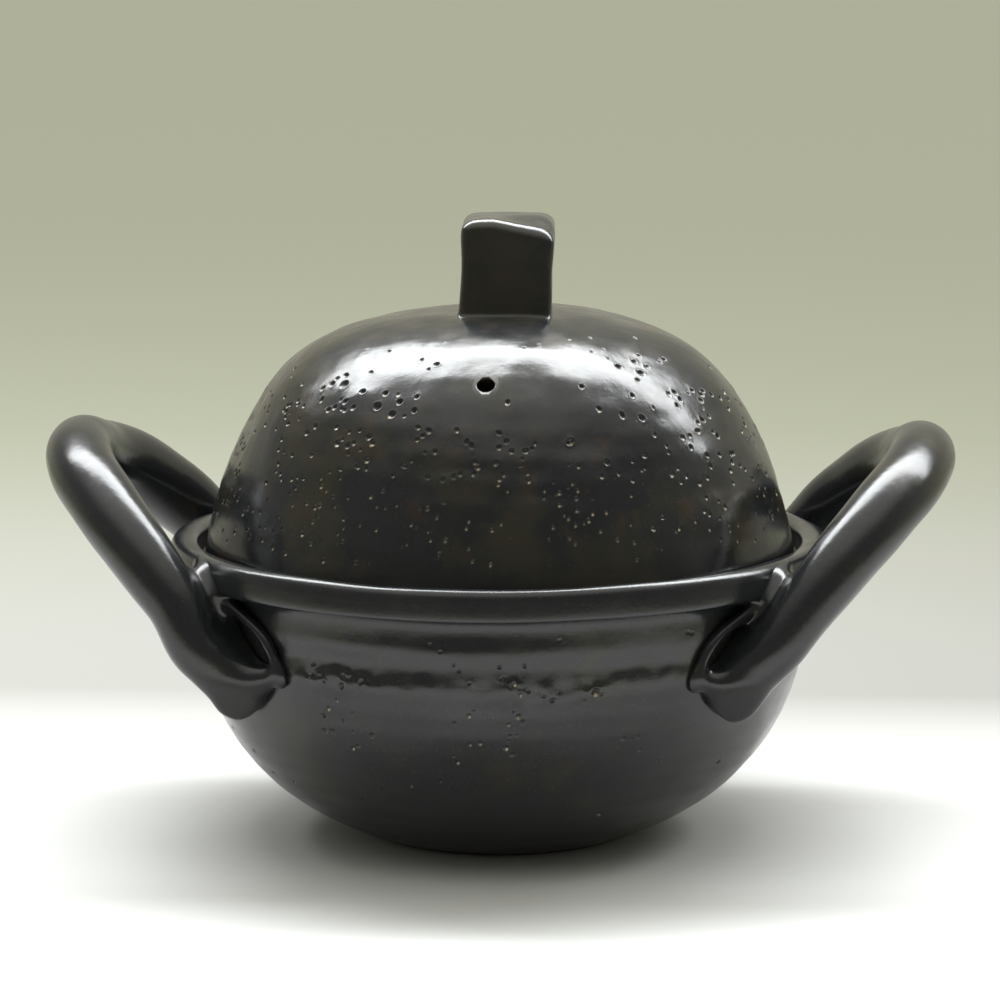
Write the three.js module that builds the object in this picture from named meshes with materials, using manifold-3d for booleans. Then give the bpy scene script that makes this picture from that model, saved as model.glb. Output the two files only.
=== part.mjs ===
// Lidded stoneware casserole (a clay pot of the donabe kind) with two coil handles
// and a bent-strap lid knob. Millimetres, +Z up, +X towards the right handle.
// Origin: centre of the foot, on the surface that the pot stands on.

import * as THREE from 'three';
import { mergeVertices } from 'three/addons/utils/BufferGeometryUtils.js';
import Module from 'manifold-3d';

const wasm = await Module();
wasm.setup();

// ---- driving dimensions ------------------------------------------------------

const TURNED_SIDES = 48;          // facets round every thrown piece
const GAP = 0.3;                  // clearance between pieces that touch

const FOOT_RADIUS = 46;           // outside of the ring that the pot stands on
const FOOT_RECESS_RADIUS = 38;    // trimmed hollow under the floor
const FOOT_RECESS_DEPTH = 2;
const FLOOR_TOP = 9;              // inside of the pot at its centre

const BELLY_RADIUS = 112.8;       // outside of the wall below the lip
const CREASE_Z = 98;              // where the lip rolls out of the wall
const LIP_RADIUS = 120;           // widest point of the rolled lip
const LIP_Z = 104.5;              // height of that widest point
const LAND_RADIUS = 114.5;        // top of the lip
const LAND_Z = 111.1;
const MOUTH_RADIUS = 109.4;       // inner edge of the lip
const MOUTH_Z = 108.9;
const SEAT_Z = 100.5;             // ledge that carries the lid
const SEAT_RADIUS = 101.5;        // inner edge of the ledge

const LID_FOOT_RADIUS = 107.2;    // outside of the lid where it meets the ledge
const LID_TOP = 191;              // outside of the dome at its centre
const LID_FOOT_WIDTH = 6.2;
const LID_WALL = 5.8;
const STEAM_HOLE_RADIUS = 3.2;
const STEAM_HOLE = new THREE.Vector3(-1, -74.5, 172.3);
const STEAM_HOLE_TILT = THREE.MathUtils.degToRad(42);   // from straight up, towards -Y
const STEAM_DRILL_LENGTH = 30;
const STEAM_DRILL_SIDES = 16;

const KNOB_WIDTH = 33;            // across the strap, along X
const KNOB_DEPTH = 38;            // front face to back face, along Y
const KNOB_OFFSET = 2.5;          // the knob stands this far right of the lid's centre
const KNOB_TURN = THREE.MathUtils.degToRad(3);          // and is turned this much
const KNOB_TOP = 224.8;
const KNOB_STRAP = 9;             // strap thickness
const KNOB_BEND = 9;              // outer radius of the two bends
const KNOB_EDGE = 2;              // rounding of the strap's edges
const KNOB_FLARE = 2;             // each leg spreads this much at its base
const KNOB_SINK = 6;              // the legs are drawn this far into the dome, then trimmed
const KNOB_WAIST = 10;            // height above the lid's top where the spread has gone
const KNOB_INNER_BEND = 5;        // bend radius inside the finger gap

const COIL_RADIUS_TOP = 12.3;     // handle coil at the top of the loop
const COIL_RADIUS_END = 13.2;     // and where it lies on the wall
const COIL_END_LENGTH = 8;        // rounded end of the coil
const COIL_SIDES = 14;
const COIL_STEPS = 30;
const COIL_CLOSING_ANGLES = [75, 50, 25].map(THREE.MathUtils.degToRad);
const COIL_END = new THREE.Vector3(85.4, 75.5, 67.5);
const COIL_RISE = new THREE.Vector3(101, 88.5, 98.5);
const COIL_TOP_PULL = new THREE.Vector3(152.2, 53.8, 138.9);
const COIL_TOP = new THREE.Vector3(152.2, 0, 138.9);
const LOOP_LEAN = new THREE.Vector3(0.79, 0, 0.61);   // the loop leans out this way

const LUTING_SWELL = 4;           // how far the luting stands out from the coil
const LUTING_REACH = 4;           // and from the wall
const LUTING_CENTRE = new THREE.Vector3(95, 80, 68);    // the space that one luting fills
const LUTING_SPACE = new THREE.Vector3(80, 70, 62);

// ---- helpers -----------------------------------------------------------------

const WELD_DISTANCE = 1e-4;

// A closed geometry as a solid that can be cut and joined.
function toSolid(geometry) {
  const plain = geometry.clone();
  plain.deleteAttribute('normal');
  plain.deleteAttribute('uv');
  const merged = mergeVertices(plain, WELD_DISTANCE);
  return new wasm.Manifold(new wasm.Mesh({
    numProp: 3,
    vertProperties: new Float32Array(merged.attributes.position.array),
    triVerts: new Uint32Array(merged.index.array),
  }));
}

function toGeometry(solid) {
  const result = solid.getMesh();
  const geometry = new THREE.BufferGeometry();
  geometry.setAttribute('position', new THREE.BufferAttribute(result.vertProperties, 3));
  geometry.setIndex(new THREE.BufferAttribute(result.triVerts, 1));
  geometry.computeVertexNormals();
  return geometry;
}

function point(radius, z) {
  return new THREE.Vector2(radius, z);
}

// Points along a smooth line through a few (radius, z) points.
function smooth(points, count) {
  return new THREE.SplineCurve(points).getPoints(count);
}

// Turn a (radius, z) outline about Z. The outline runs up the outside of the piece
// and comes back down its inside.
function turned(outline) {
  const geometry = new THREE.LatheGeometry(outline, TURNED_SIDES);
  geometry.rotateX(Math.PI / 2);
  return geometry;
}

// ---- outlines ----------------------------------------------------------------

// Outside of the pot from the foot to the crease below the lip.
function bellyOutline() {
  return smooth([
    point(FOOT_RADIUS + 3, 0.9),
    point(54.5, 3.1),
    point(69.5, 10.7),
    point(84.5, 21.5),
    point(96.5, 35.3),
    point(105.3, 51.7),
    point(110.9, 69.7),
    point(BELLY_RADIUS, 85.5),
    point(BELLY_RADIUS, CREASE_Z),
  ], 12);
}

// The rolled lip, from the crease over the top to its inner edge.
function lipOutline() {
  return smooth([
    point(BELLY_RADIUS + 3.2, CREASE_Z + 0.4),
    point(LIP_RADIUS - 1.2, CREASE_Z + 2.4),
    point(LIP_RADIUS, LIP_Z),
    point(LIP_RADIUS - 1.4, LIP_Z + 4.2),
    point(LAND_RADIUS, LAND_Z),
    point(MOUTH_RADIUS + 1.2, MOUTH_Z + 0.8),
    point(MOUTH_RADIUS, MOUTH_Z - 1),
  ], 9);
}

// Inside of the pot, from the ledge down to the centre of the floor.
function insideOutline() {
  return smooth([
    point(SEAT_RADIUS, SEAT_Z - 1.2),
    point(102.6, 86.5),
    point(100.8, 69.5),
    point(95.4, 53.5),
    point(87, 39),
    point(75.5, 26.5),
    point(60, 17),
    point(38, 10.8),
    point(0, FLOOR_TOP),
  ], 11);
}

// Outside of the lid's dome, from its foot to the centre.
function domeOutline() {
  return smooth([
    point(LID_FOOT_RADIUS, SEAT_Z + GAP),
    point(105.4, 111),
    point(99.4, 131.7),
    point(91, 151.1),
    point(78.6, 169),
    point(59.4, 182.3),
    point(32, 189.5),
    point(0, LID_TOP),
  ], 14);
}

// Inside of the dome, from the centre back to the foot.
function domeInsideOutline() {
  return smooth([
    point(0, LID_TOP - LID_WALL),
    point(31, 183.9),
    point(56.5, 177),
    point(74, 164.6),
    point(85.6, 148.1),
    point(93.6, 129.9),
    point(99.4, 110),
    point(LID_FOOT_RADIUS - LID_FOOT_WIDTH, SEAT_Z + GAP),
  ], 11);
}

// ---- pieces ------------------------------------------------------------------

function potBody() {
  return turned([
    point(0, FOOT_RECESS_DEPTH),
    point(FOOT_RECESS_RADIUS, FOOT_RECESS_DEPTH),
    point(FOOT_RECESS_RADIUS + 1, 0),
    point(FOOT_RADIUS, 0),
    ...bellyOutline(),
    ...lipOutline(),
    point(MOUTH_RADIUS, SEAT_Z + 1),
    point(MOUTH_RADIUS - 1, SEAT_Z),
    point(SEAT_RADIUS + 1, SEAT_Z),
    ...insideOutline(),
  ]);
}

// The pot without its hollow and swollen all round, to trim what is luted onto it.
function potBlank(swell) {
  const grown = [...bellyOutline(), ...lipOutline()].map((p) => point(p.x + swell, p.y));
  return toSolid(turned([
    point(0, -swell),
    point(FOOT_RADIUS + swell, -swell),
    ...grown,
    point(0, LAND_Z + swell),
  ]));
}

function lidDome() {
  const foot = point(LID_FOOT_RADIUS, SEAT_Z + GAP);
  const outside = domeOutline();
  const inside = domeInsideOutline();
  const shell = toSolid(turned([...outside, ...inside, foot]));
  const drill = new THREE.CylinderGeometry(
    STEAM_HOLE_RADIUS, STEAM_HOLE_RADIUS, STEAM_DRILL_LENGTH, STEAM_DRILL_SIDES);
  drill.rotateX(STEAM_HOLE_TILT - Math.PI / 2);
  drill.translate(STEAM_HOLE.x, STEAM_HOLE.y, STEAM_HOLE.z);
  return toGeometry(shell.subtract(toSolid(drill)));
}

// The lid as a full solid, a gap taller, to trim the foot of the knob.
function domeBlank() {
  const grown = domeOutline().map((p) => point(p.x, p.y + GAP));
  return toSolid(turned([point(0, SEAT_Z), ...grown]));
}

// Side view (Y, Z) of the knob: a strap bent over into a bridge with a finger gap.
// The outline is drawn one edge rounding inside the finished strap.
function knobProfile() {
  const half = KNOB_DEPTH / 2 - KNOB_EDGE;
  const top = KNOB_TOP - KNOB_EDGE;
  const base = LID_TOP - KNOB_SINK;
  const waist = LID_TOP + KNOB_WAIST;
  const bend = KNOB_BEND - KNOB_EDGE;
  const inner = KNOB_DEPTH / 2 - KNOB_STRAP + KNOB_EDGE;
  const innerTop = KNOB_TOP - KNOB_STRAP + KNOB_EDGE;
  const innerBend = KNOB_INNER_BEND;
  const shape = new THREE.Shape();
  shape.moveTo(-half - KNOB_FLARE, base);
  shape.quadraticCurveTo(-half, waist, -half, top - bend);
  shape.absarc(-half + bend, top - bend, bend, Math.PI, Math.PI / 2, true);
  shape.absarc(half - bend, top - bend, bend, Math.PI / 2, 0, true);
  shape.quadraticCurveTo(half, waist, half + KNOB_FLARE, base);
  shape.lineTo(inner, base);
  shape.lineTo(inner, innerTop - innerBend);
  shape.absarc(inner - innerBend, innerTop - innerBend, innerBend, 0, Math.PI / 2, false);
  shape.absarc(-inner + innerBend, innerTop - innerBend, innerBend, Math.PI / 2, Math.PI, false);
  shape.lineTo(-inner, base);
  shape.closePath();
  return shape;
}

function lidKnob() {
  const strap = new THREE.ExtrudeGeometry(knobProfile(), {
    depth: KNOB_WIDTH - 2 * KNOB_EDGE,
    bevelThickness: KNOB_EDGE,
    bevelSize: KNOB_EDGE,
    bevelSegments: 2,
    curveSegments: 5,
  });
  strap.translate(0, 0, -KNOB_WIDTH / 2 + KNOB_EDGE);
  strap.applyMatrix4(new THREE.Matrix4().makeBasis(
    new THREE.Vector3(0, 1, 0), new THREE.Vector3(0, 0, 1), new THREE.Vector3(1, 0, 0)));
  strap.rotateZ(KNOB_TURN);
  strap.translate(KNOB_OFFSET, 0, 0);
  return toGeometry(toSolid(strap).subtract(domeBlank()));
}

// The line that a handle's coil follows: off the wall at the front, over the top
// of the loop and back to the wall behind. side is +1 on the right, -1 on the left.
function coilPath(side) {
  const place = (p, front) => new THREE.Vector3(side * p.x, front * p.y, p.z);
  const path = new THREE.CurvePath();
  path.add(new THREE.CubicBezierCurve3(
    place(COIL_END, -1), place(COIL_RISE, -1), place(COIL_TOP_PULL, -1), place(COIL_TOP, -1)));
  path.add(new THREE.CubicBezierCurve3(
    place(COIL_TOP, 1), place(COIL_TOP_PULL, 1), place(COIL_RISE, 1), place(COIL_END, 1)));
  return path;
}

// Centre, direction and radius of each ring of a coil that is swell thicker than the
// real one. The rings at both ends close in to make the rounded ends.
function coilRings(path, swell) {
  const rings = [];
  const addRing = (share, beyond, shrink) => {
    const direction = path.getTangentAt(share);
    const centre = path.getPointAt(share).addScaledVector(direction, beyond);
    const towardsEnd = Math.abs(2 * share - 1);
    const radius = THREE.MathUtils.lerp(COIL_RADIUS_TOP, COIL_RADIUS_END, towardsEnd) + swell;
    rings.push({ centre, direction, radius: radius * shrink });
  };
  const length = COIL_END_LENGTH + swell;
  COIL_CLOSING_ANGLES.forEach((angle) => {
    addRing(0, -length * Math.sin(angle), Math.cos(angle));
  });
  for (let i = 0; i <= COIL_STEPS; i += 1) {
    addRing(i / COIL_STEPS, 0, 1);
  }
  COIL_CLOSING_ANGLES.toReversed().forEach((angle) => {
    addRing(1, length * Math.sin(angle), Math.cos(angle));
  });
  return rings;
}

// One closed handle coil. Every ring is turned the same way to the plane of the loop,
// so that the coil doesn't twist.
function coil(side, swell = 0) {
  const rings = coilRings(coilPath(side), swell);
  const squareToLoop = new THREE.Vector3(-side * LOOP_LEAN.x, 0, LOOP_LEAN.z);
  const positions = [];
  const indices = [];
  rings.forEach(({ centre, direction, radius }) => {
    const across = new THREE.Vector3().crossVectors(squareToLoop, direction).normalize();
    const outward = new THREE.Vector3().crossVectors(direction, across);
    for (let k = 0; k < COIL_SIDES; k += 1) {
      const angle = (2 * Math.PI * k) / COIL_SIDES;
      const p = centre.clone()
        .addScaledVector(across, radius * Math.cos(angle))
        .addScaledVector(outward, radius * Math.sin(angle));
      positions.push(p.x, p.y, p.z);
    }
  });
  const corner = (ring, k) => ring * COIL_SIDES + (k % COIL_SIDES);
  const last = rings.length - 1;
  for (let ring = 0; ring < last; ring += 1) {
    for (let k = 0; k < COIL_SIDES; k += 1) {
      indices.push(corner(ring, k), corner(ring, k + 1), corner(ring + 1, k + 1));
      indices.push(corner(ring, k), corner(ring + 1, k + 1), corner(ring + 1, k));
    }
  }
  for (let k = 1; k < COIL_SIDES - 1; k += 1) {
    indices.push(corner(0, 0), corner(0, k + 1), corner(0, k));
    indices.push(corner(last, 0), corner(last, k), corner(last, k + 1));
  }
  const geometry = new THREE.BufferGeometry();
  geometry.setAttribute('position', new THREE.Float32BufferAttribute(positions, 3));
  geometry.setIndex(indices);
  return toSolid(geometry);
}

function handle(side) {
  return toGeometry(coil(side).subtract(potBlank(GAP)));
}

// The clay pressed into the corner between one end of a coil and the wall.
// front is -1 for the end nearer -Y and +1 for the end behind.
function luting(side, front) {
  const corner = new THREE.BoxGeometry(...LUTING_SPACE);
  corner.translate(side * LUTING_CENTRE.x, front * LUTING_CENTRE.y, LUTING_CENTRE.z);
  const bead = coil(side, LUTING_SWELL).intersect(potBlank(LUTING_REACH)).intersect(toSolid(corner));
  return toGeometry(bead.subtract(coil(side, GAP)).subtract(potBlank(GAP)));
}

// ---- assembly ----------------------------------------------------------------

const casserole = new THREE.Group();
const pot = new THREE.Group();
const lid = new THREE.Group();
casserole.add(pot, lid);

function addPiece(group, name, geometry, color) {
  const glaze = new THREE.MeshStandardMaterial({ color, metalness: 0.25, roughness: 0.32 });
  const mesh = new THREE.Mesh(geometry, glaze);
  mesh.name = name;
  group.add(mesh);
}

addPiece(pot, 'pot_body', potBody(), 0x1f2020);
[['left', -1], ['right', 1]].forEach(([name, side]) => {
  addPiece(pot, `handle_${name}`, handle(side), 0x212324);
  addPiece(pot, `luting_${name}_front`, luting(side, -1), 0x26282a);
  addPiece(pot, `luting_${name}_back`, luting(side, 1), 0x26282a);
});
addPiece(lid, 'lid_dome', lidDome(), 0x242320);
addPiece(lid, 'lid_knob', lidKnob(), 0x1c1c1c);

export default casserole;
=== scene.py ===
import math

import bpy
import numpy as np
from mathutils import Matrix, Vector


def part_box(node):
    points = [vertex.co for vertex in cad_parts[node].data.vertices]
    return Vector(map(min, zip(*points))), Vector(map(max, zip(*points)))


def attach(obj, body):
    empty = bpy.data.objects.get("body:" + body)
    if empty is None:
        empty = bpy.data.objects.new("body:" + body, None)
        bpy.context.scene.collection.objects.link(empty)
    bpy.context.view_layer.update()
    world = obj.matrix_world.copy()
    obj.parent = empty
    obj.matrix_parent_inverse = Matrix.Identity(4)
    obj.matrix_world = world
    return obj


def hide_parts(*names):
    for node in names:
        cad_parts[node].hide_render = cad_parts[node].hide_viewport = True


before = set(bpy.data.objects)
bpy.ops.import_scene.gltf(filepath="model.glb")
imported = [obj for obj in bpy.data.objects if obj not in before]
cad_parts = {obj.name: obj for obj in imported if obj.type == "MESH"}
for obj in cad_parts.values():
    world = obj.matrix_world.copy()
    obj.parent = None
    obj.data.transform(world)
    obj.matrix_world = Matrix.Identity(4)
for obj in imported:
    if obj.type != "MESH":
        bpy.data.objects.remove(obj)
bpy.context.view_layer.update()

# Looks of a lidded stoneware casserole with two coil handles and a bent-strap knob.
# Shapes are worked out in millimetres, in the frame of the CAD model, with +Z up and
# -Y towards the viewer. MM turns them into metres when a mesh is made.

MM = 0.001

POT_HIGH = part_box("pot_body")[1] / MM
LID_LOW, LID_HIGH = (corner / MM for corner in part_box("lid_dome"))
KNOB_LOW, KNOB_HIGH = (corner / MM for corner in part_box("lid_knob"))
HANDLE_LOW, HANDLE_HIGH = (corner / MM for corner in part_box("handle_right"))

# ---- driving dimensions ------------------------------------------------------

SKIN = 0.25                        # the glazed pieces stay this far inside the CAD box

COLUMNS = 400                      # steps round the pot and the lid
PIT_STEPS = 4                      # finer steps across each cell that a pit touches

LIP_RADIUS = POT_HIGH.x - SKIN
CREASE_Z = 98                      # where the lip rolls out of the wall
UNDERLIP_RADIUS = 115.3            # where the underside of the lip turns outwards
MOUTH_RADIUS = 109.4
MOUTH_Z = 107.4                    # where the lip turns down into the mouth
SEAT_Z = 100.5
LIP_DIP = 0.7                      # the lip sags this much, a little left of the front

LID_FOOT_Z = LID_LOW.z
LID_FOOT_RADIUS = 107.2
LID_TOP = LID_HIGH.z - SKIN
STEAM_HOLE = (-1, -74.5, 172.3)
STEAM_HOLE_RADIUS = 3.2
STEAM_HOLE_TILT = math.radians(42)     # from straight up, towards -Y
DRILL_LENGTH = 30

COIL_TOP = (152.2, 0, 138.9)
COIL_TOP_PULL = (152.2, -53.8, 138.9)
COIL_RISE = (101, -88.5, 98.5)
COIL_END = (85.4, -75.5, 67.5)
COIL_TAIL = 4                      # the coil runs on this far below COIL_END
COIL_RADIUS_TOP = HANDLE_HIGH.x - COIL_TOP[0] - SKIN
COIL_RADIUS_END = 13.2
COIL_RADII = ((0, 9.6), (28, 9.7), (46, 10.6), (60, 11.5), (76, 11.9), (95, 12.2),
              (140, COIL_RADIUS_TOP))      # (length from COIL_END, radius)
COIL_CUT_POINT = (91.1, -86.0, 69.2)
COIL_CUT_FACING = (0.08, -0.74, -0.67)
COIL_END_POINT = (71.2, -87.5, 67.7)
COIL_END_FACING = (-0.65, -0.15, -0.74)
BACK_DROP = 2.5                    # the back half of each loop hangs this much lower
BACK_SWELL = 1.3                   # and is this much thicker at its foot

ROOT_SHIFT = {"right": 0.3, "left": 3.3}   # how much further out the foot of a coil lies

LUTING_PATH = ((61.8, 106.2, 115.6), (60, 105.2, 117.5), (57.6, 103.6, 118.6),
               (56, 101.2, 118.8), (54.7, 98.8, 118), (52.7, 96.1, 116.7), (49.4, 92.8, 115.2),
               (45.7, 88.8, 114.2), (42.9, 84.4, 113.6), (40.7, 78, 113), (39.6, 73, 112.4),
               (39.4, 70, 111.6))  # (compass, z, distance from the axis)
LUTING_RADII = ((0, 1.4), (6, 2.3), (14, 2.3), (22, 2.1), (30, 1.8), (48, 1.8), (60, 1.2))
TOE = ((73.6, -85.6, 72.6), (79.5, -81.5, 70.4), (86.5, -77, 69.5))
TOE_RADII = (2.4, 6.0, 8.6)

KNOB_WIDTH = 33.2
KNOB_OFFSET = 3.1
KNOB_TURN = math.radians(2)
KNOB_TOP = KNOB_HIGH.z - SKIN
KNOB_DEPTH = 38
KNOB_STRAP = 9

CAMERA_DISTANCE = 1.5
CAMERA_AZIMUTH = math.radians(2.85)    # round from -Y towards +X
CAMERA_HEIGHT = 0.3592
CAMERA_AIM = (0.0001, 0, 0.1207)
CAMERA_LENS = 150.76


# ---- numbers and noise -------------------------------------------------------

def smoothstep(low, high, value):
    share = np.clip((value - low) / (high - low), 0, 1)
    return share * share * (3 - 2 * share)


def hump(centre, width, value):
    """A bell of height 1 round a centre."""
    return np.exp(-((value - centre) / width) ** 2)


def waves(points, length, seed, count=28):
    """Smooth noise of about unit size whose bumps are about `length` mm apart."""
    rng = np.random.default_rng(seed)
    total = np.zeros(len(points))
    for _ in range(count):
        direction = rng.normal(size=3)
        direction /= np.linalg.norm(direction)
        stretch = rng.uniform(0.7, 1.4)
        phase = rng.uniform(0, 2 * math.pi)
        total += np.cos(points @ direction * (2 * math.pi / (length * stretch)) + phase)
    return total * math.sqrt(2 / count)


# ---- turned pieces -----------------------------------------------------------

def smooth(points, step=0.2):
    """Catmull-Rom line through (radius, z) points, sampled every `step` mm or so."""
    points = np.array(points, float)
    padded = np.vstack([points[:1], points, points[-1:]])
    line = []
    for before, start, end, after in zip(padded, padded[1:], padded[2:], padded[3:]):
        count = max(2, int(np.linalg.norm(end - start) / step))
        t = np.linspace(0, 1, count, endpoint=False)[:, None]
        leave = (end - before) / 2
        arrive = (after - start) / 2
        line.append((2 * start - 2 * end + leave + arrive) * t ** 3
                    + (3 * end - 3 * start - 2 * leave - arrive) * t ** 2 + leave * t + start)
    return np.vstack(line + [points[-1:]])


class Outline:
    """A line of (radius, z) points by arc length, with the direction out of the clay."""

    def __init__(self, sections):
        self.points = np.vstack(sections)
        steps = np.linalg.norm(np.diff(self.points, axis=0), axis=1)
        self.points = self.points[np.concatenate([[True], steps > 1e-6])]
        steps = steps[steps > 1e-6]
        self.length = np.concatenate([[0], np.cumsum(steps)])
        along = np.gradient(self.points, self.length, axis=0)
        self.normals = np.stack([along[:, 1], -along[:, 0]], 1)

    def at(self, v):
        point = np.stack([np.interp(v, self.length, self.points[:, k]) for k in (0, 1)], 1)
        normal = np.stack([np.interp(v, self.length, self.normals[:, k]) for k in (0, 1)], 1)
        return point, normal / np.linalg.norm(normal, axis=1)[:, None]

    def nearest(self, radius, z, first=0.0, last=1e9):
        """Arc length of the point nearest to (radius, z) between two arc lengths."""
        gap = np.hypot(self.points[:, 0] - radius, self.points[:, 1] - z)
        gap[(self.length < first) | (self.length > last)] = np.inf
        return self.length[np.argmin(gap)]

    def place(self, u, v, height):
        """3-D points at angle u and arc length v, lifted by `height` out of the clay."""
        point, normal = self.at(v)
        point = point + normal * height[:, None]
        return np.stack([point[:, 0] * np.cos(u), point[:, 0] * np.sin(u), point[:, 1]], 1)


def rows(outline, stops):
    """Arc lengths of the rows of cells: stops are (arc length, row spacing up to it)."""
    lines = [0.0]
    for stop, spacing in stops:
        count = max(1, round((stop - lines[-1]) / spacing))
        lines.extend(np.linspace(lines[-1], stop, count + 1)[1:])
    return np.array(lines)


def turned_cells(outline, v_lines, pits):
    """(u, v) points and faces of a turned sheet, with fine cells where a pit is."""
    row_count = len(v_lines) - 1
    fine_v = np.interp(np.arange(row_count * PIT_STEPS + 1) / PIT_STEPS,
                       np.arange(row_count + 1), v_lines)
    column, row = np.meshgrid(np.arange(COLUMNS), np.arange(row_count), indexing="ij")
    middle_u = (column + 0.5) * 2 * math.pi / COLUMNS
    middle_v = (v_lines[row] + v_lines[row + 1]) / 2
    radius = outline.at(middle_v.ravel())[0][:, 0].reshape(middle_v.shape)
    fine = np.zeros(middle_v.shape, bool)
    for pit in pits:
        across = (middle_u - pit.u + math.pi) % (2 * math.pi) - math.pi
        half = radius * math.pi / COLUMNS
        tall = (v_lines[row + 1] - v_lines[row]) / 2
        reach = pit.radius * 1.35
        outside_u = np.maximum(np.abs(across) * radius - half, 0)
        outside_v = np.maximum(np.abs(middle_v - pit.v) - tall, 0)
        fine |= np.hypot(outside_u, outside_v) < reach
    stride = row_count * PIT_STEPS + 1

    def key(fine_column, fine_row):
        return (fine_column % (COLUMNS * PIT_STEPS)) * stride + fine_row

    def quads(columns, lines, size):
        return np.stack([key(columns, lines), key(columns + size, lines),
                         key(columns + size, lines + size), key(columns, lines + size)], 1)

    beside = np.zeros_like(fine)
    beside |= np.roll(fine, 1, 0) | np.roll(fine, -1, 0)
    beside[:, 1:] |= fine[:, :-1]
    beside[:, :-1] |= fine[:, 1:]
    beside &= ~fine
    plain = ~fine & ~beside
    faces = list(quads(column[plain] * PIT_STEPS, row[plain] * PIT_STEPS, PIT_STEPS))
    for a in range(PIT_STEPS):
        for b in range(PIT_STEPS):
            faces.extend(quads(column[fine] * PIT_STEPS + a, row[fine] * PIT_STEPS + b, 1))
    for i, j in np.argwhere(beside):
        left, bottom = i * PIT_STEPS, j * PIT_STEPS
        right, top = left + PIT_STEPS, bottom + PIT_STEPS
        ring = [key(left, bottom)]
        if j > 0 and fine[i, j - 1]:
            ring += [key(left + s, bottom) for s in range(1, PIT_STEPS)]
        ring.append(key(right, bottom))
        if fine[(i + 1) % COLUMNS, j]:
            ring += [key(right, bottom + s) for s in range(1, PIT_STEPS)]
        ring.append(key(right, top))
        if j + 1 < row_count and fine[i, j + 1]:
            ring += [key(right - s, top) for s in range(1, PIT_STEPS)]
        ring.append(key(left, top))
        if fine[i - 1, j]:
            ring += [key(left, top - s) for s in range(1, PIT_STEPS)]
        faces.append(ring)
    first_ring = [key(c * PIT_STEPS, 0) for c in range(COLUMNS)]
    last_ring = [key(c * PIT_STEPS, stride - 1) for c in range(COLUMNS)]
    faces.append(first_ring[::-1])
    faces.append(last_ring)
    keys = np.unique(np.concatenate([np.asarray(face) for face in faces]))
    u = (keys // stride) * 2 * math.pi / (COLUMNS * PIT_STEPS)
    v = fine_v[keys % stride]
    lookup = np.full(keys.max() + 1, -1)
    lookup[keys] = np.arange(len(keys))
    return u, v, [lookup[np.asarray(face)].tolist() for face in faces]


# ---- pits --------------------------------------------------------------------

class Pit:
    """A burst bubble in the glaze, at angle u and arc length v."""

    def __init__(self, u, v, rng, size, fleck_share):
        self.u = u
        self.v = v
        self.radius = size * rng.uniform(0.65, 1.25)
        self.depth = self.radius * rng.uniform(0.42, 0.7)
        self.stretch = rng.uniform(0.8, 1.25)
        self.slant = rng.uniform(0, math.pi)
        self.fleck = rng.uniform(0.3, 1) if rng.random() < fleck_share else 0.0
        self.fleck_at = (rng.uniform(-0.35, 0.35), rng.uniform(-0.9, -0.4))


def press_pits(outline, u, v, pits):
    """How deep the pits are at each point, how much of a pit it is, and its pale fleck."""
    radius = outline.at(v)[0][:, 0]
    depth = np.zeros(len(u))
    mark = np.zeros(len(u))
    fleck = np.zeros(len(u))
    for pit in pits:
        near = np.abs(v - pit.v) < pit.radius * 1.9
        index = np.flatnonzero(near)
        across = ((u[index] - pit.u + math.pi) % (2 * math.pi) - math.pi) * radius[index]
        up = v[index] - pit.v
        a = (across * math.cos(pit.slant) + up * math.sin(pit.slant)) * pit.stretch
        b = (up * math.cos(pit.slant) - across * math.sin(pit.slant)) / pit.stretch
        share = np.hypot(a, b) / pit.radius
        bowl = np.clip(1 - share ** 2, 0, 1) ** 1.6
        rim = 0.1 * hump(1.12, 0.22, share)
        depth[index] += pit.depth * (bowl - rim * (share < 1.8))
        mark[index] = np.maximum(mark[index], smoothstep(1.0, 0.55, share))
        spot = np.hypot(across / pit.radius - pit.fleck_at[0], up / pit.radius - pit.fleck_at[1])
        fleck[index] = np.maximum(fleck[index], pit.fleck * smoothstep(0.55, 0.25, spot))
    return depth, mark, fleck


def scatter(outline, rng, clusters, surface):
    """Pits in clusters. A cluster is (compass angle, z, angle spread, z spread, count,
    size); the compass angle is in degrees round from the front, + to the right."""
    pits = []
    for compass, z, angle_spread, z_spread, count, size in clusters:
        for _ in range(count):
            angle = math.radians(compass + rng.normal() * angle_spread - 90)
            height = z + rng.normal() * z_spread
            if not surface["low"] < height < surface["high"]:
                continue
            radius = np.interp(height, surface["z"], surface["radius"])
            v = outline.nearest(radius, height, surface["first"], surface["last"])
            pit = Pit(angle % (2 * math.pi), v, rng, size, surface["fleck_share"])
            clear = all(math.hypot((pit.u - other.u) * radius, pit.v - other.v)
                        > 0.9 * (pit.radius + other.radius) for other in pits)
            if clear:
                pits.append(pit)
    return pits


def outside_surface(line, first, last, z_range, fleck_share):
    """What scatter needs to know about the outside of a piece: its (radius, z) line, the
    arc lengths where it starts and ends, and the z range and flecks of its pits."""
    return {"z": line[:, 1], "radius": line[:, 0], "first": first, "last": last,
            "low": z_range[0], "high": z_range[1], "fleck_share": fleck_share}


# ---- making pieces -----------------------------------------------------------

def make_piece(name, points, faces, masks):
    """An object in metres; each mask is a number at every point, for the glaze to read."""
    mesh = bpy.data.meshes.new(name)
    mesh.from_pydata((np.asarray(points) * MM).tolist(), [], faces)
    for mask, values in masks.items():
        attribute = mesh.attributes.new(mask, "FLOAT", "POINT")
        attribute.data.foreach_set("value", np.asarray(values, np.float32))
    mesh.shade_smooth()
    piece = bpy.data.objects.new(name, mesh)
    bpy.context.scene.collection.objects.link(piece)
    return piece


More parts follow.
